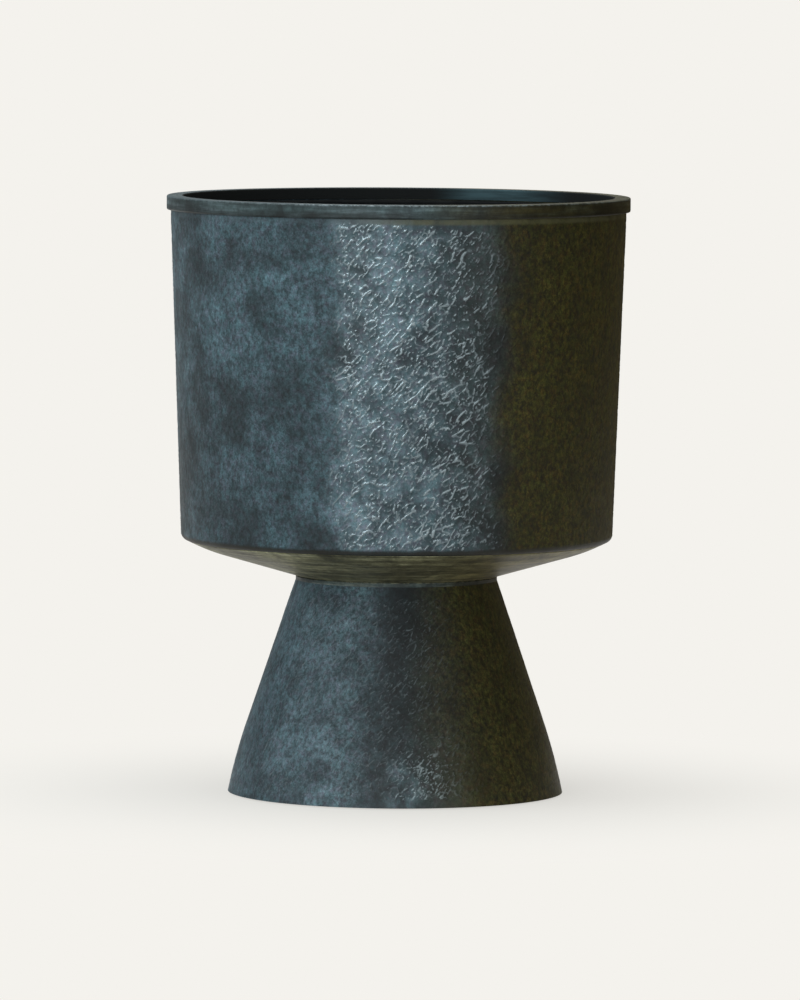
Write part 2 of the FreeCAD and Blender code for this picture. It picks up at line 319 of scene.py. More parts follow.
def thinned(piece):
    """The piece with its flat parts in fewer faces."""
    modifier = piece.modifiers.new("thin", "DECIMATE")
    modifier.ratio = THIN_RATIO
    bpy.context.view_layer.update()
    graph = bpy.context.evaluated_depsgraph_get()
    mesh = bpy.data.meshes.new_from_object(piece.evaluated_get(graph))
    piece.modifiers.remove(modifier)
    old, piece.data = piece.data, mesh
    mesh.name = piece.name
    bpy.data.meshes.remove(old)
    return piece


def smooth(piece, angle):
    """The piece with smooth faces and edges that are sharp from the angle on."""
    mesh = piece.data
    mesh.polygons.foreach_set("use_smooth", np.ones(len(mesh.polygons), bool))
    mesh.set_sharp_from_angle(angle=math.radians(angle))
    return piece


def set_values(piece, outer, gap_radius, **grids):
    """Keeps each grid's value, from 0 to 1, at each point of the outer side, for the material."""
    mesh = piece.data
    place = np.zeros(len(mesh.vertices) * 3, np.float32)
    mesh.vertices.foreach_get("co", place)
    place = place.reshape(-1, 3).astype(float) / MM
    angle = np.arctan2(place[:, 0], place[:, 1]) % (2 * math.pi)
    half_gap = half_gap_angle(gap_radius)
    rising = np.maximum.accumulate(outer[:, 1])
    row = np.interp(place[:, 2], rising, np.arange(len(outer)))
    row = np.clip(np.rint(row), 0, len(outer) - 1).astype(int)
    base = np.interp(place[:, 2], rising, outer[:, 0])
    outside = np.hypot(place[:, 0], place[:, 1]) > base - OUTSIDE_SLACK
    for name, grid in grids.items():
        column = (angle - half_gap) / (2 * math.pi - 2 * half_gap) * (grid.shape[0] - 1)
        column = np.clip(np.rint(column), 0, grid.shape[0] - 1).astype(int)
        values = np.where(outside, grid[column, row], 0)
        attribute = mesh.attributes.new(name, "FLOAT", "POINT")
        attribute.data.foreach_set("value", np.clip(values, 0, 1).astype(np.float32))


def textured_sheet(name, outer, relief, sheet, gap_radius, **values):
    """A rolled sheet with its relief and its values for the material."""
    piece = sheet_shell(name, outer, relief, sheet, gap_radius)
    thinned(piece)
    smooth(piece, SHEET_SHARP)
    set_values(piece, outer, gap_radius, **values)
    return piece


# The drum: the sheet is flat when it is embossed, so its relief is laid out flat. Azimuths are in degrees
# from the front, positive to the right.
DRUM_MEAN_RADIUS = 148.5
DRUM_BRIGHT_START = (-22, -12)
DRUM_BRIGHT_WEAKER = (0, 18)
DRUM_BRIGHT_END = (19, 34)
DRUM_SIDES_START = (72, 100)
DRUM_RELIEF_LOW = (172.2, 174.5)
DRUM_RELIEF_TOP = 388
DRUM_TOP_DIP = 5.5
DRUM_DIP_START = (0, 27)
DRUM_DIP_END = (60, 90)
SEAM_FADE = (1.0, 4.0)


def drum_outline():
    """The outer side of the drum's sheet, from its lip on the pan up to the rim."""
    head = np.array(DRUM_CORNER) - PAN_BEND
    head = head / np.linalg.norm(head)
    up = np.array(WALL_TOP) - DRUM_CORNER
    up = up / np.linalg.norm(up)
    turn = math.acos(float(head @ up))
    lip = WALL_CORNER_ROUND * math.tan(turn / 2) + WALL_LIP
    lip_end = np.array(DRUM_CORNER) - head * lip
    return rounded([lip_end, DRUM_CORNER, WALL_TOP], [WALL_CORNER_ROUND], RELIEF_STEP)


def drum_rubbed(azimuth, x, y):
    """Wear and sheen of the drum, from 0 to 1. It raises the relief and gloss, and lightens the colour as a
    painted sheen: most in an upright band in front, and evenly round the back.
    """
    wandered = azimuth + 2.6 * cloud(x, y, 13, 71) + 1.4 * cloud(x, y, 5, 73)
    bright = smooth_step(wandered, *DRUM_BRIGHT_START) ** 1.3
    weaker = 0.08 * smooth_step(wandered, *DRUM_BRIGHT_WEAKER)
    bright *= 1 - weaker - 0.92 * smooth_step(wandered, *DRUM_BRIGHT_END)
    bright *= 1 + 0.2 * cloud(x, y, 17, 77)
    aside = smooth_step(np.abs(azimuth), *DRUM_SIDES_START) * (0.55 + 0.1 * cloud(x, y, 62, 75))
    return np.clip(np.maximum(bright, aside), 0, 1)


def drum_skin():
    """The drum's sheet. Its relief ends below the rim, lower to the right of the front."""
    outer = drum_outline()
    run = lengths_along(outer)
    columns = round(2 * math.pi * DRUM_MEAN_RADIUS / RELIEF_STEP)
    x = np.linspace(0, 2 * math.pi * DRUM_MEAN_RADIUS, columns)[:, None] + 0 * run[None]
    y = run[None] + 0 * x
    z = outer[:, 1][None] + 0 * x
    azimuth = np.degrees(math.pi - x / DRUM_MEAN_RADIUS)
    rubbed = drum_rubbed(azimuth, x, y)
    top = DRUM_RELIEF_TOP + 0.8 * cloud(x, y, 11, 31)
    dip = DRUM_TOP_DIP * smooth_step(azimuth, *DRUM_DIP_START) * (1 - smooth_step(azimuth, *DRUM_DIP_END))
    top = top - dip
    shape = ridges(-x, y, 11.0)
    shape *= smooth_step(z, *DRUM_RELIEF_LOW) * (1 - smooth_step(z, top - 1.5, top + 0.5))
    shape *= smooth_step(x, *SEAM_FADE) * smooth_step(x.max() - x, *SEAM_FADE)
    piece = textured_sheet(
        "drum_skin", outer, RIDGE_HEIGHT * shape * (0.4 + 0.6 * rubbed), WALL_SHEET, DRUM_CORNER[0],
        ridge=shape * np.maximum(rubbed, 0.22), rubbed=rubbed)
    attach(piece, "planter")
    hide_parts("drum_wall")
    return piece


# The pedestal: its sheet is laid out flat as part of a ring, on which the relief is
PEDESTAL_MEAN_RADIUS = 100
PEDESTAL_RELIEF_SCALE = 1.3
PEDESTAL_RELIEF_PLACE = (700, 300)
PEDESTAL_RELIEF_LOW = (4, 8)
PEDESTAL_RELIEF_TOP = (133, 140)
PEDESTAL_FRONT_START = (-12, 8)
PEDESTAL_FRONT_END = (24, 44)
PEDESTAL_FRONT_TOP = (26, 62)
PEDESTAL_FRONT_SHARE = 0.84


def pedestal_rubbed(azimuth, x, y, z):
    """Wear and sheen of the pedestal, from 0 to 1, with the same painted sheen: most low in front, and here
    and there elsewhere.
    """
    low_part = smooth_step(z + 12 * cloud(x, y, 20, 83), *PEDESTAL_FRONT_TOP)
    low_part = PEDESTAL_FRONT_SHARE - PEDESTAL_FRONT_SHARE * low_part
    front = low_part * smooth_step(azimuth, *PEDESTAL_FRONT_START)
    front = front * (1 - smooth_step(azimuth, *PEDESTAL_FRONT_END))
    wear_and_sheen_share = smooth_step(cloud(x, y, 30, 61) + 0.6 * cloud(x, y, 12, 63), 0.25, 0.9)
    return np.maximum(front, 0.4 * wear_and_sheen_share)


def pedestal_skin():
    """The pedestal's sheet."""
    outer = rounded([PEDESTAL_FOOT, PEDESTAL_BEND, PEDESTAL_TOP], [PEDESTAL_BEND_ROUND], RELIEF_STEP)
    run = lengths_along(outer)
    lean = (PEDESTAL_FOOT[0] - PEDESTAL_TOP[0]) / run[-1]
    far = PEDESTAL_TOP[0] / lean
    columns = round(2 * math.pi * PEDESTAL_MEAN_RADIUS / RELIEF_STEP)
    angle = (np.linspace(0, 2 * math.pi, columns)[:, None] - math.pi) * lean
    reach = far + run[-1] - run[None]
    x, y = reach * np.sin(angle), reach * np.cos(angle)
    z = outer[:, 1][None] + 0 * x
    relief_x = PEDESTAL_RELIEF_SCALE * x + PEDESTAL_RELIEF_PLACE[0]
    relief_y = PEDESTAL_RELIEF_SCALE * y + PEDESTAL_RELIEF_PLACE[1]
    shape = ridges(relief_x, relief_y, 57.0)
    seam = outer[:, 0][None] * (math.pi - np.abs(angle) / lean)
    kept = smooth_step(z, *PEDESTAL_RELIEF_LOW) * (1 - smooth_step(z, *PEDESTAL_RELIEF_TOP))
    shape *= kept * smooth_step(seam, *SEAM_FADE)
    azimuth = np.degrees(-angle / lean) + 5 * cloud(x, y, 15, 81) + 0 * z
    rubbed = pedestal_rubbed(azimuth, x, y, z)
    piece = textured_sheet(
        "pedestal_skin", outer, 0.8 * RIDGE_HEIGHT * shape * (0.35 + 0.65 * rubbed), PEDESTAL_SHEET,
        PEDESTAL_TOP[0], ridge=shape * np.maximum(rubbed, 0.42), rubbed=rubbed)
    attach(piece, "planter")
    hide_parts("pedestal_shell")
    return piece


# The rim band. A ring is a little out of true, by waves of (depth in millimetres, number, place).
RING_COLUMNS = 360
RING_WAVES = ((0.05, 3, 0.6), (0.04, 7, 2.1), (0.03, 16, 4))


def turned(name, section, node):
    """A ring turned from a closed run of points, a little out of true as a hand-rolled one is."""
    section = np.array(section, float)
    count = len(section)
    angle = np.arange(RING_COLUMNS) * 2 * math.pi / RING_COLUMNS
    wave = sum(depth * np.sin(number * angle + place) for depth, number, place in RING_WAVES)
    radius = section[None, :, 0] + wave[:, None]
    height = np.repeat(section[None, :, 1], RING_COLUMNS, 0)
    vertices = around_axis(angle, np.stack([radius, height], -1))
    index = np.arange(RING_COLUMNS * count).reshape(RING_COLUMNS, count)
    quads = quads_between(index, np.roll(index, -1, 0))
    piece = new_object(name, vertices, np.full(len(quads), 4), quads.ravel())
    smooth(piece, RING_SHARP)
    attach(piece, "planter")
    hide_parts(node)
    return piece


def rim_band_skin():
    """The channel over the drum's raw edge: outer face, rounded top and short inner face."""
    low, inner_low, sheet = RIM_TOP - BAND_HEIGHT, RIM_TOP - BAND_INNER_HEIGHT, BAND_SHEET
    out, into = RIM_RADIUS - BAND_TRIM, RIM_RADIUS - BAND_WIDTH
    corners = [(out, low + BAND_CHAMFER), (out, RIM_TOP), (into, RIM_TOP), (into, inner_low)]
    run = [(out - 0.35, low), (out - 0.12, low + 0.3)]
    run += list(rounded(corners, BAND_ROUNDS, BAND_ROUND_STEP))
    run += [(into + sheet, inner_low), (into + sheet, RIM_TOP - sheet)]
    run += [(out - sheet, RIM_TOP - sheet), (out - sheet, low)]
    return turned("rim_band_skin", run, "rim_band")


# Materials, made of nodes. Lengths in a texture are in metres, so a scale of 100 has lumps of 10 mm.
NOISE_LOW, NOISE_HIGH = 0.3, 0.7


class Tree:
    """The nodes of a material or world, empty at first, and short ways to add to them."""

    def __init__(self, owner, output):
        owner.use_nodes = True
        self.tree = owner.node_tree
        self.tree.nodes.clear()
        self.output = self.add(output)

    def add(self, kind):
        return self.tree.nodes.new(kind)

    def link(self, source, target):
        self.tree.links.new(source, target)

    def put(self, value, target):
        """Links an output, or sets a number or a colour of three numbers."""
        if hasattr(value, "links"):
            self.link(value, target)
        else:
            target.default_value = (*value, 1) if isinstance(value, tuple) else value

    def shader(self, kind, **inputs):
        node = self.add(kind)
        for name, value in inputs.items():
            self.put(value, node.inputs[name])
        return node.outputs[0]

    def blend(self, share, one, two):
        """Two shaders mixed by the share of the second."""
        node = self.add("ShaderNodeMixShader")
        for value, target in zip((share, one, two), node.inputs):
            self.link(value, target)
        return node.outputs[0]

    def places(self):
        return self.add("ShaderNodeTexCoord").outputs["Object"]

    def span(self, value, low, high, to_low=0, to_high=1):
        """The value taken smoothly from low and high to to_low and to_high, and held at the ends."""
        node = self.add("ShaderNodeMapRange")
        node.interpolation_type = "SMOOTHSTEP"
        self.put(value, node.inputs["Value"])
        ends = {"From Min": low, "From Max": high, "To Min": to_low, "To Max": to_high}
        for name, number in ends.items():
            node.inputs[name].default_value = number
        return node.outputs["Result"]

    def swing(self, noise, to_low, to_high):
        """The range that a noise has most of the time, taken to another."""
        return self.span(noise, NOISE_LOW, NOISE_HIGH, to_low, to_high)

    def math(self, operation, one, two=0):
        node = self.add("ShaderNodeMath")
        node.operation = operation
        self.put(one, node.inputs[0])
        self.put(two, node.inputs[1])
        return node.outputs[0]

    def times(self, product, *factors):
        for factor in factors:
            product = self.math("MULTIPLY", product, factor)
        return product

    def vector(self, operation, one, two=None, output=0):
        node = self.add("ShaderNodeVectorMath")
        node.operation = operation
        self.link(one, node.inputs[0])
        if two is not None:
            node.inputs[1].default_value = two
        return node.outputs[output]


class Surface(Tree):
    """A new material with one principled shader."""

    def __init__(self, name):
        self.material = bpy.data.materials.new(name)
        super().__init__(self.material, "ShaderNodeOutputMaterial")
        self.principled = self.add("ShaderNodeBsdfPrincipled")
        self.link(self.principled.outputs[0], self.output.inputs[0])
        self.place = self.places()

    def stretched(self, scale):
        node = self.add("ShaderNodeMapping")
        node.inputs["Scale"].default_value = scale
        self.link(self.place, node.inputs["Vector"])
        return node.outputs[0]

    def noise(self, scale, detail=4, rough=0.55, distortion=0, place=None):
        node = self.add("ShaderNodeTexNoise")
        node.inputs["Scale"].default_value = scale
        node.inputs["Detail"].default_value = detail
        node.inputs["Roughness"].default_value = rough
        node.inputs["Distortion"].default_value = distortion
        self.link(place or self.place, node.inputs["Vector"])
        return node.outputs["Fac"]

    def mix(self, share, one, two):
        """Two colours mixed by the share of the second."""
        node = self.add("ShaderNodeMix")
        node.data_type = "RGBA"
        self.put(share, node.inputs[0])
        self.put(one, node.inputs[6])
        self.put(two, node.inputs[7])
        return node.outputs[2]

    def attribute(self, name):
        node = self.add("ShaderNodeAttribute")
        node.attribute_name = name
        return node.outputs["Fac"]

    def tone(self, color):
        node = self.add("ShaderNodeRGB")
        node.outputs[0].default_value = (*color, 1)
        return node.outputs[0]

    def scaled(self, color, *shares):
        for share in shares:
            node = self.add("ShaderNodeVectorMath")
            node.operation = "SCALE"
            self.link(color, node.inputs[0])
            self.link(share, node.inputs["Scale"])
            color = node.outputs[0]
        return color

    def tinted(self, color, tint):
        return self.vector("MULTIPLY", color, tint)

    def radius(self):
        """The distance from the axis."""
        return self.vector("LENGTH", self.vector("MULTIPLY", self.place, (1, 1, 0)), output="Value")

    def separate(self):
        """The three parts of the place, by the names X, Y and Z."""
        node = self.add("ShaderNodeSeparateXYZ")
        self.link(self.place, node.inputs[0])
        return node.outputs

    def round_axis(self, turns, radial):
        """Places for a noise that runs in circles round the axis and changes fast along radius and height."""
        x, y, z = self.separate()
        radius = self.radius()
        joined = self.add("ShaderNodeCombineXYZ")
        self.link(self.times(self.math("DIVIDE", x, radius), turns), joined.inputs[0])
        self.link(self.times(self.math("DIVIDE", y, radius), turns), joined.inputs[1])
        self.link(self.times(self.math("ADD", radius, z), radial), joined.inputs[2])
        return joined.outputs[0]

    def bump(self, height, strength, distance, normal=None):
        node = self.add("ShaderNodeBump")
        node.inputs["Strength"].default_value = strength
        node.inputs["Distance"].default_value = distance
        self.link(height, node.inputs["Height"])
        if normal is not None:
            self.link(normal, node.inputs["Normal"])
        return node.outputs[0]

    def finish(self, color, roughness, normal, metallic, level):
        inputs = self.principled.inputs
        self.put(color, inputs["Base Color"])
        self.put(roughness, inputs["Roughness"])
        self.put(metallic, inputs["Metallic"])
        inputs["Specular IOR Level"].default_value = level
        self.link(normal, inputs["Normal"])
        return self.material


# Embossed sheet. Heights are in metres, and shares of the width run from -1 at the left to 1 at the right.
DRUM_MIDDLE_HEIGHTS = (0.2, 0.36)
STRIP_START = (DRUM_RELIEF_TOP - 1.2) * MM
STRIP_BROWN = (0.115, 0.105, 0.05)
SEAT_END = (DRUM_CORNER[1] + 3.1) * MM
SEAT_BLACK = (0.01, 0.009, 0.005)
FINE_WARM = (1.35, 0.84, 0.98)
FINE_COOL = (0.76, 1.05, 1.0)
EMBOSSED_GLOSS = 0.25


def plate_wear_and_sheen(nodes, rubbed, leaning, patches):
    """How much wear and a painted sheen lighten the plates between the ridges, less to the right."""
    return nodes.times(
        nodes.span(rubbed, 0.2, 1, 0, 0.6), nodes.span(leaning, 0.0, 0.4, 1, 0.15),
        nodes.span(patches, 0.36, 0.62, 0.45, 1.3))


def painted_sheen_share(nodes, across, middle):
    """A painted sheen: a lighter streak down the sheet where a lamp's highlight falls."""
    return nodes.times(
        nodes.span(across, middle - 0.22, middle), nodes.span(across, middle + 0.25, middle), 0.55)


def fine_unevenness(nodes, color, calm, speckle, grain):
    """The colour with fine warm and cool places, and with speckle and grain where it isn't calm."""
    tint = nodes.noise(240, detail=3, rough=0.7)
    color = nodes.mix(nodes.span(tint, 0.51, 0.62, 0, 0.45), color, nodes.tinted(color, FINE_WARM))
    color = nodes.mix(nodes.span(tint, 0.49, 0.38, 0, 0.45), color, nodes.tinted(color, FINE_COOL))
    for spots, depth in ((speckle, 0.62), (grain, 0.36)):
        uneven = nodes.times(nodes.swing(spots, -depth, depth), calm)
        color = nodes.scaled(color, nodes.math("ADD", uneven, 1.03))
    return color


def drum_ends(nodes, color, light, patches, x, z):
    """The colour with the drum's smooth lighter strip below the rim and its dark seat on the pan."""
    amount = nodes.times(
        nodes.span(z, STRIP_START - 0.0008, STRIP_START + 0.0014, 0, 0.75),
        nodes.span(patches, 0.3, 0.6, 0.3, 1), nodes.span(x, -0.06, -0.03, 0.45, 1))
    warm = nodes.mix(nodes.span(x, -0.05, 0.02), light, STRIP_BROWN)
    color = nodes.mix(amount, color, warm)
    return nodes.mix(nodes.span(z, SEAT_END, SEAT_END - 0.0025, 0, 0.9), color, SEAT_BLACK)


def embossed_metal(name, cool, dark, brown, light, crest, turn, blotch, is_drum=False, sheen=None):
    """Blackened embossed sheet: cloudy patina, dull plates, and ridges whose lighter crests are partly wear
    and partly a painted highlight. From the first to the second share of the width in turn it goes from
    cool to dark, and up to the third to brown: painted shade and a painted warm reflection on its right side.
    A painted sheen runs down it as a lighter streak at the share sheen. The drum gets lighter upwards at its
    left, and its brown darker."""
    nodes = Surface(name)
    parts = nodes.separate()
    x, z = parts["X"], parts["Z"]
    broad = nodes.noise(24, detail=2, rough=0.5, distortion=0.5)
    patches = nodes.noise(62, detail=4, rough=0.6, distortion=0.4)
    speckle = nodes.noise(330, detail=4, rough=0.7, distortion=0.3, place=nodes.stretched((1, 1, 0.8)))
    grain = nodes.noise(800, detail=3, rough=0.7)
    ridge, rubbed = nodes.attribute("ridge"), nodes.attribute("rubbed")
    across = nodes.math("ADD", nodes.math("DIVIDE", x, nodes.radius()), nodes.swing(broad, -0.05, 0.05))
    # Painted shade and a painted warm reflection: cool at the left, darker right of the middle, brown at the
    # right
    color = nodes.mix(nodes.span(across, turn[0], turn[1]), cool, dark)
    brown_here = nodes.scaled(nodes.tone(brown), nodes.swing(patches, 0.72, 1.36))
    leaning = across
    if is_drum:
        upper = nodes.scaled(color, nodes.span(z, *DRUM_MIDDLE_HEIGHTS, 0.84, 1.14))
        color = nodes.mix(nodes.span(across, -0.2, -0.35), color, upper)
        leaning = nodes.math("ADD", across, nodes.span(z, *DRUM_MIDDLE_HEIGHTS, -0.08, 0.06))
        shade = nodes.times(nodes.span(z, 0.21, 0.33, 0.05, 0.36), nodes.span(across, 0.64, 0.48))
        brown_here = nodes.scaled(brown_here, nodes.math("SUBTRACT", 1, shade))
    wear_and_sheen_share = plate_wear_and_sheen(nodes, rubbed, leaning, patches)
    if sheen is not None:
        wear_and_sheen_share = nodes.math("MAXIMUM", wear_and_sheen_share, painted_sheen_share(nodes, across, sheen))
    # The plates get lighter with wear and with a painted sheen
    color = nodes.mix(wear_and_sheen_share, color, light)
    color = nodes.scaled(color, nodes.span(broad, 0.34, 0.66, *blotch), nodes.swing(patches, 0.65, 1.42))
    browned = nodes.span(across, turn[1], turn[2])
    color = nodes.mix(browned, color, brown_here)
    calm = nodes.times(nodes.span(rubbed, 0, 1, 1, 0.45), nodes.span(browned, 0, 1, 1, 1.3))
    color = fine_unevenness(nodes, color, calm, speckle, grain)
    # Lighter crests: partly wear, partly a painted highlight that is brightest just right of the middle and
    # dimmer further right
    crest_here = nodes.scaled(
        nodes.tone(crest), nodes.span(across, 0.0, 0.12, 0.94, 1.28), nodes.span(across, 0.24, 0.38, 1, 0.66))
    color = nodes.mix(nodes.span(ridge, 0.1, 0.75, 0, 0.95), color, nodes.mix(browned, crest_here, brown))
    if is_drum:
        color = drum_ends(nodes, color, light, patches, x, z)
    roughness = nodes.math("SUBTRACT", nodes.swing(patches, 0.57, 0.48), nodes.span(rubbed, 0, 1, 0, 0.09))
    roughness = nodes.math("SUBTRACT", roughness, nodes.span(ridge, 0.06, 0.45, 0, 0.15))
    normal = nodes.bump(grain, strength=0.15, distance=0.0002)
    normal = nodes.bump(speckle, strength=0.24, distance=0.0003, normal=normal)
    return nodes.finish(color, roughness, normal, nodes.span(ridge, 0.15, 0.7, 0, 0.45), EMBOSSED_GLOSS)


# The drum's turn from cool to dark to brown is painted shade and a painted warm reflection
def drum_metal():
    return embossed_metal(
        "embossed_drum", cool=(0.038, 0.06, 0.069), dark=(0.019, 0.024, 0.022), brown=(0.031, 0.0265, 0.006),
        light=(0.088, 0.121, 0.135), crest=(0.208, 0.242, 0.254), turn=(-0.02, 0.39, 0.54),
        blotch=(0.62, 1.46), is_drum=True)


# The foot's dark middle and brown right are painted shade and a painted warm reflection; its sheen is a
# painted highlight
def foot_metal():
    return embossed_metal(
        "embossed_foot", cool=(0.042, 0.065, 0.075), dark=(0.006, 0.0098, 0.0108),
        brown=(0.03, 0.0262, 0.0072), light=(0.072, 0.103, 0.115), crest=(0.22, 0.26, 0.27),
        turn=(-0.48, 0.0, 0.64), blotch=(0.8, 1.22), sheen=-0.4)


# Smooth metal. Places are in metres, and an edge is the radius and the height from which it gets a
# painted highlight, partly edge wear.
BAND_INSIDE = (RIM_RADIUS - BAND_WIDTH + 0.4) * MM
BAND_FLAT_TOP = (RIM_TOP - BAND_ROUNDS[0]) * MM
BAND_FACE_HEIGHTS = ((RIM_TOP - 9.0) * MM, (RIM_TOP - 2.8) * MM)
BAND_HIGHLIGHT_EDGE = ((RIM_RADIUS - 1.2) * MM, (RIM_TOP - 1.4) * MM)
RING_HIGHLIGHT_EDGE = ((PEDESTAL_TOP[0] - 0.9) * MM, (PEDESTAL_TOP[1] + 2.1) * MM)
# The band's top colours are a painted reflection
BAND_TOP_REFLECTION_COOL = (0.075, 0.1, 0.108)
BAND_TOP_REFLECTION_BROWN = (0.085, 0.085, 0.06)
INSIDE_BLACK = (0.002, 0.003, 0.003)
INSIDE_GLINT = (0.042, 0.076, 0.085)
BROWN_STREAKS = (0.42, 0.34, 0.22)
SMOOTH_GLOSS = 0.22
EDGE_BLUR = 0.001
FINE_BLUR = 0.0006


class SmoothMetal(Surface):
    """Turned metal, streaked round its axis, cool at the left and brown at the right. The brown at the
    right is painted shade and a painted warm reflection.
    """

    def __init__(self, name, cool, brown, light):
        super().__init__(name)
        parts = self.separate()
        self.x, self.z = parts["X"], parts["Z"]
        narrow = self.round_axis(turns=4, radial=430)
        wide = self.round_axis(turns=1.2, radial=130)
        large = self.noise(18, detail=3, rough=0.5, distortion=0.4)
        self.streaks = self.noise(1, detail=5, rough=0.62, distortion=0.2, place=narrow)
        bands = self.noise(1, detail=3, rough=0.5, place=wide)
        self.patches = self.noise(80, detail=5, rough=0.62, distortion=0.5)
        self.specks = self.noise(330, detail=4, rough=0.75)
        # Brown towards the right: painted shade and a painted warm reflection
        hue = self.math("ADD", self.times(self.x, 10.0), self.times(large, 0.8))
        self.browned = self.span(hue, 0.5, 1.1)
        streaked = self.mix(self.browned, light, self.tinted(self.tone(light), BROWN_STREAKS))
        color = self.mix(self.browned, cool, brown)
        color = self.mix(self.span(self.streaks, 0.42, 0.66, 0, 0.6), color, streaked)
        self.color = self.scaled(
            color, self.span(bands, 0.35, 0.65, 0.6, 1.5), self.span(self.patches, 0.3, 0.65, 0.46, 1.42),
            self.span(large, 0.36, 0.62, 0.66, 1.3), self.swing(self.specks, 0.75, 1.3))
        self.roughness = self.swing(self.streaks, 0.52, 0.4)

    def paint_top_light_and_shade(self):
        """The band's flat top is lighter, a painted reflection, and its outer face has painted shade: darker
        at the left and towards its lower edge.
        """
        self.color = self.scaled(
            self.color, self.span(self.x, -0.1, -0.055, 0.72, 1.12),
            self.span(self.z, *BAND_FACE_HEIGHTS, 0.55, 1.22))
        amount = self.times(
            self.span(self.z, BAND_FLAT_TOP, BAND_FLAT_TOP + FINE_BLUR),
            self.span(self.patches, 0.35, 0.6, 0.35, 0.9))
        self.color = self.mix(amount, self.color, self.mix(self.browned, BAND_TOP_REFLECTION_COOL, BAND_TOP_REFLECTION_BROWN))

    def paint_edge_highlight(self, beyond, above, color):
        """Beyond the radius and above the height it is lighter, in flecks and most in the middle: a painted
        highlight where the edge catches light, partly edge wear.
        """
        rubbed = self.times(
            self.span(self.radius(), beyond, beyond + EDGE_BLUR), self.span(self.z, above, above + EDGE_BLUR),
            self.span(self.specks, 0.46, 0.6, 0.1, 1), self.span(self.x, -0.09, -0.04, 0.3, 1),
            self.span(self.x, 0.11, 0.04, 0.3, 1))
        self.color = self.mix(rubbed, self.color, color)

    def blacken_inside(self):
        """Within the band's radius it is black and matt, with a bluish glint at the right."""
        right = self.times(
            self.span(self.x, 0.02, 0.06), self.span(self.x, 0.12, 0.07),
            self.span(self.streaks, 0.35, 0.65, 0.6, 1.15))
        black = self.mix(right, INSIDE_BLACK, INSIDE_GLINT)
        edge = (BAND_INSIDE + FINE_BLUR, BAND_INSIDE)
        self.color = self.mix(self.span(self.radius(), *edge), self.color, black)
        self.roughness = self.math("MAXIMUM", self.roughness, self.span(self.radius(), *edge, 0, 0.85))

    def done(self):
        grain = self.noise(700, detail=3, rough=0.6)
        normal = self.bump(self.streaks, strength=0.25, distance=0.0004)
        normal = self.bump(grain, strength=0.15, distance=0.0002, normal=normal)
        return self.finish(self.color, self.roughness, normal, 0.0, SMOOTH_GLOSS)


def band_metal():
    metal = SmoothMetal(
        "smooth_band", cool=(0.026, 0.039, 0.039), brown=(0.0155, 0.013, 0.0045), light=(0.084, 0.11, 0.115))
    metal.paint_top_light_and_shade()
    metal.paint_edge_highlight(*BAND_HIGHLIGHT_EDGE, (0.24, 0.28, 0.29))
    metal.blacken_inside()
    return metal.done()


def ring_metal():
    metal = SmoothMetal(
        "smooth_ring", cool=(0.026, 0.037, 0.035), brown=(0.026, 0.023, 0.012), light=(0.11, 0.12, 0.1))
    metal.paint_edge_highlight(*RING_HIGHLIGHT_EDGE, (0.32, 0.29, 0.175))
    return metal.done()


# The pan's light tan is painted light: a painted warm reflection of the floor on the bowl's underside
def pan_metal():
    metal = SmoothMetal(
        "smooth_pan", cool=(0.16, 0.15, 0.082), brown=(0.18, 0.155, 0.07), light=(0.4, 0.375, 0.23))
    return metal.done()


def plain_surface(name, color, shade, scale, roughness, metallic=0.0, strength=0.15, level=0.5):
    """A surface whose colour goes to the shade in spots of the scale, with a fine bump."""
    nodes = Surface(name)
    spots = nodes.noise(scale, detail=4, rough=0.6)
    tint = nodes.mix(nodes.span(spots, 0.35, 0.7), color, shade)
    rough = nodes.swing(spots, roughness - 0.06, roughness + 0.08)
    normal = nodes.bump(nodes.noise(scale * 6, detail=3, rough=0.6), strength, distance=0.0003)
    return nodes.finish(tint, rough, normal, metallic, level)


def dress(piece, material):
    piece.data.materials.clear()
    piece.data.materials.append(material)


# Pieces

drum = drum_skin()
pedestal = pedestal_skin()
band = rim_band_skin()
dress(drum, drum_metal())
dress(pedestal, foot_metal())
dress(band, band_metal())
by_node = {"neck_ring": ring_metal(), "bowl_bottom": pan_metal()}
by_slot = {
    "inner_steel": plain_surface(
        "black_primer", (0.03, 0.032, 0.034), (0.02, 0.021, 0.022), scale=90, roughness=0.55),
    "fastener_steel": plain_surface(
        "zinc_plated", (0.42, 0.43, 0.44), (0.33, 0.34, 0.34), scale=260, roughness=0.38, metallic=1.0),
    "rubber": plain_surface(
        "black_rubber", (0.02, 0.02, 0.021), (0.028, 0.028, 0.028), scale=180, roughness=0.7),
    "liner_plastic": plain_surface(
        "liner_plastic", (0.003, 0.0038, 0.0042), (0.0018, 0.0024, 0.0028), scale=120, roughness=0.62,
        strength=0.08, level=0.05),
}
for row in frame["record"]["subparts"]:
    material = by_node.get(row["node"]) or by_slot.get(row["material_slot"])
    if material is not None:
        dress(frame["nodes"][row["node"]], material)


# Camera: level with the photograph's, with the same small roll. Places are in metres.
CAMERA_PLACE = (0.0021, -5.94, 0.632)
CAMERA_AIM = (0.0021, 0, 0.1965)
CAMERA_ROLL = math.radians(0.37)
CAMERA_LENS = 320.2
CAMERA_SENSOR = 36
CAMERA_REACH = 200

scene = bpy.context.scene
scene.view_settings.view_transform = "Standard"


def turned_towards(place, target):
    """The turn of a camera or lamp at the place that points at the target."""
    return (Vector(target) - Vector(place)).to_track_quat("-Z", "Y")


def put_in_scene(name, data, place, turn):
    thing = bpy.data.objects.new(name, data)
    scene.collection.objects.link(thing)
    thing.location = place
    thing.rotation_mode = "QUATERNION"
    thing.rotation_quaternion = turn
    return thing


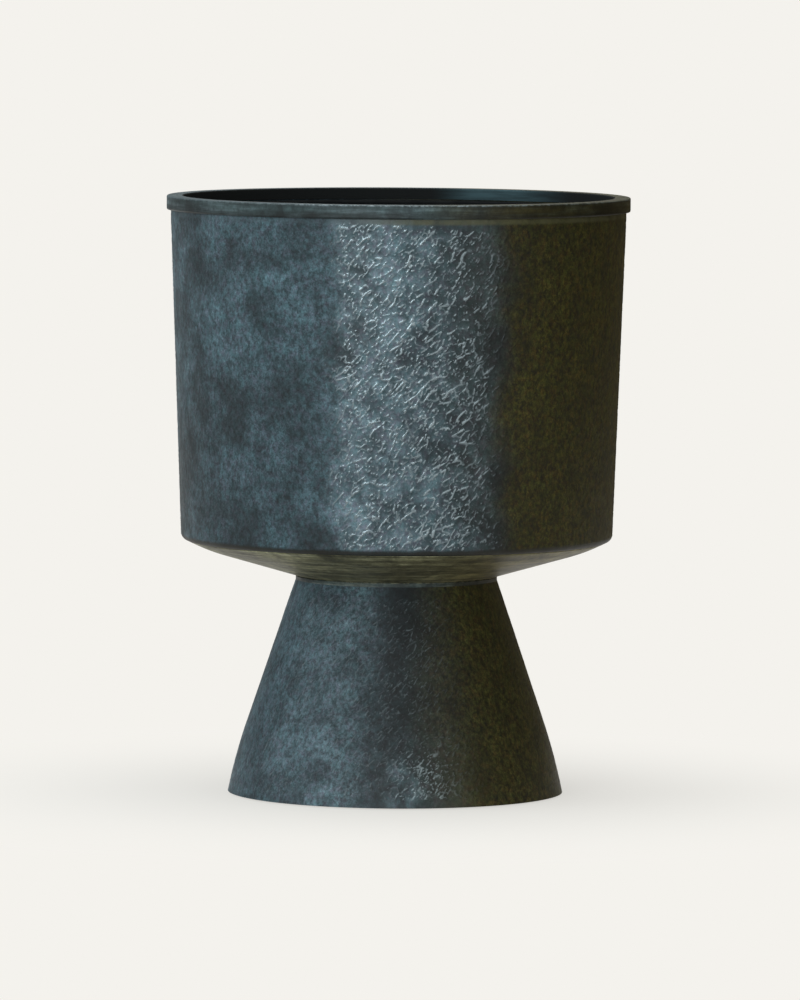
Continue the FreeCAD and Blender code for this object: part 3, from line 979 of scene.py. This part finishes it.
def make_camera():
    data = bpy.data.cameras.new("camera")
    data.lens = CAMERA_LENS
    data.sensor_width = CAMERA_SENSOR
    data.clip_end = CAMERA_REACH
    turn = turned_towards(CAMERA_PLACE, CAMERA_AIM) @ Quaternion((0, 0, 1), CAMERA_ROLL)
    scene.camera = put_in_scene("camera", data, CAMERA_PLACE, turn)


make_camera()


# Floor, which fades into the background and keeps the object's shadow
FLOOR_RINGS = (0, 0.15, 0.3, 0.5, 0.8, 1.2, 1.8, 2.6, 4, 6, 9)
FLOOR_SPOKES = 96
FLOOR_COLOR = (0.9, 0.865, 0.81)
SHADOW_FADE = (0.14, 0.42, 0.66, 1.0)


def backdrop_rays(nodes):
    """One for rays that should see the pale background."""
    path = nodes.add("ShaderNodeLightPath").outputs
    seen = nodes.math("MAXIMUM", path["Is Camera Ray"], path["Is Glossy Ray"])
    return nodes.math("MAXIMUM", seen, path["Is Transmission Ray"])


def plain_mesh(name, vertices, faces, material_name):
    """A mesh object in the scene, and the nodes of its new material."""
    mesh = bpy.data.meshes.new(name)
    mesh.from_pydata(vertices, [], faces)
    piece = bpy.data.objects.new(name, mesh)
    scene.collection.objects.link(piece)
    material = bpy.data.materials.new(material_name)
    mesh.materials.append(material)
    return piece, Tree(material, "ShaderNodeOutputMaterial")


def make_floor():
    vertices = [(0, 0, 0)]
    for radius in FLOOR_RINGS[1:]:
        for k in range(FLOOR_SPOKES):
            a = 2 * math.pi * k / FLOOR_SPOKES
            vertices.append((radius * math.cos(a), radius * math.sin(a), 0))
    faces = [(0, 1 + k, 1 + (k + 1) % FLOOR_SPOKES) for k in range(FLOOR_SPOKES)]
    for ring in range(len(FLOOR_RINGS) - 2):
        base = 1 + ring * FLOOR_SPOKES
        for k in range(FLOOR_SPOKES):
            after = (k + 1) % FLOOR_SPOKES
            faces.append((base + k, base + FLOOR_SPOKES + k, base + FLOOR_SPOKES + after, base + after))
    floor, nodes = plain_mesh("floor", vertices, faces, "floor_pale")
    diffuse = nodes.shader("ShaderNodeBsdfDiffuse", Color=FLOOR_COLOR)
    glow = nodes.shader("ShaderNodeEmission", Color=BACKGROUND, Strength=backdrop_rays(nodes))
    distance = nodes.vector("LENGTH", nodes.places(), output="Value")
    nodes.link(nodes.blend(nodes.span(distance, *SHADOW_FADE), diffuse, glow), nodes.output.inputs[0])


make_floor()


# World: the pale background for what is seen, and a dim cool fill as light
FILL_COLOR = (0.8, 0.92, 1.0)
FILL_STRENGTH = 0.35


def make_world():
    scene.world = bpy.data.worlds.new("studio")
    nodes = Tree(scene.world, "ShaderNodeOutputWorld")
    seen = nodes.shader("ShaderNodeBackground", Color=BACKGROUND)
    fill = nodes.shader("ShaderNodeBackground", Color=FILL_COLOR, Strength=FILL_STRENGTH)
    nodes.link(nodes.blend(backdrop_rays(nodes), fill, seen), nodes.output.inputs[0])


make_world()


# Lamps, in metres. They are soft windows, seen by the metal but not by the camera.
MIDDLE = (0, 0, 0.25)
WINDOW_COLOR = (0.84, 0.95, 1.0)


def around(azimuth, elevation, distance):
    """A point seen from the middle at an azimuth from the camera, positive to the right."""
    a, e = math.radians(azimuth), math.radians(elevation)
    flat = distance * math.cos(e)
    return flat * math.sin(a), -flat * math.cos(a), MIDDLE[2] + distance * math.sin(e)


def softbox(name, place, target, width, height, radiance, color):
    """An area lamp whose face has the given radiance."""
    lamp = bpy.data.lights.new(name, "AREA")
    lamp.shape = "RECTANGLE"
    lamp.size, lamp.size_y = width, height
    lamp.energy = radiance * math.pi * width * height
    lamp.color = color
    put_in_scene(name, lamp, place, turned_towards(place, target)).visible_camera = False


softbox(
    "key_window", around(-18, 9, 4.0), MIDDLE, width=2.2, height=0.95, radiance=11.0, color=WINDOW_COLOR)
softbox(
    "side_window", around(30, 8, 4.0), MIDDLE, width=1.9, height=0.9, radiance=2.7, color=WINDOW_COLOR)
softbox(
    "left_fill", around(-78, 16, 5.0), MIDDLE, width=4.4, height=2.6, radiance=1.7, color=(0.82, 0.94, 1.0))
softbox(
    "overhead", (0, 0, 3.2), (0, 0, 0), width=2.4, height=2.4, radiance=3.4, color=(1.0, 1.0, 1.0))


# Flags: dim curved panels beside the object, out of the camera's sight, that keep the pale backdrop off the
# metal. They run from one azimuth to another, positive to the right.
FLAG_STEPS = 24
FLAG_LOW = 0.01
WARM_DIM = (1.0, 0.84, 0.45)


def make_flag(name, start, end, strength, color, radius=3.6, top=6.0, only_gloss=False):
    vertices = []
    for k in range(FLAG_STEPS + 1):
        a = math.radians(start + (end - start) * k / FLAG_STEPS)
        x, y = radius * math.sin(a), -radius * math.cos(a)
        vertices += [(x, y, FLAG_LOW), (x, y, top)]
    faces = [(2 * k, 2 * k + 2, 2 * k + 3, 2 * k + 1) for k in range(FLAG_STEPS)]
    flag, nodes = plain_mesh(name, vertices, faces, name)
    glow = nodes.shader("ShaderNodeEmission", Color=color, Strength=strength)
    nodes.link(glow, nodes.output.inputs[0])
    flag.visible_camera = False
    flag.visible_shadow = False
    flag.visible_diffuse = not only_gloss


make_flag("flag_right", start=56, end=178, strength=0.085, color=WARM_DIM)
make_flag(
    "flag_right_low", start=60, end=178, strength=0.1, color=WARM_DIM, radius=1.0, top=0.5, only_gloss=True)
make_flag("flag_left", start=182, end=258, strength=0.3, color=FILL_COLOR)
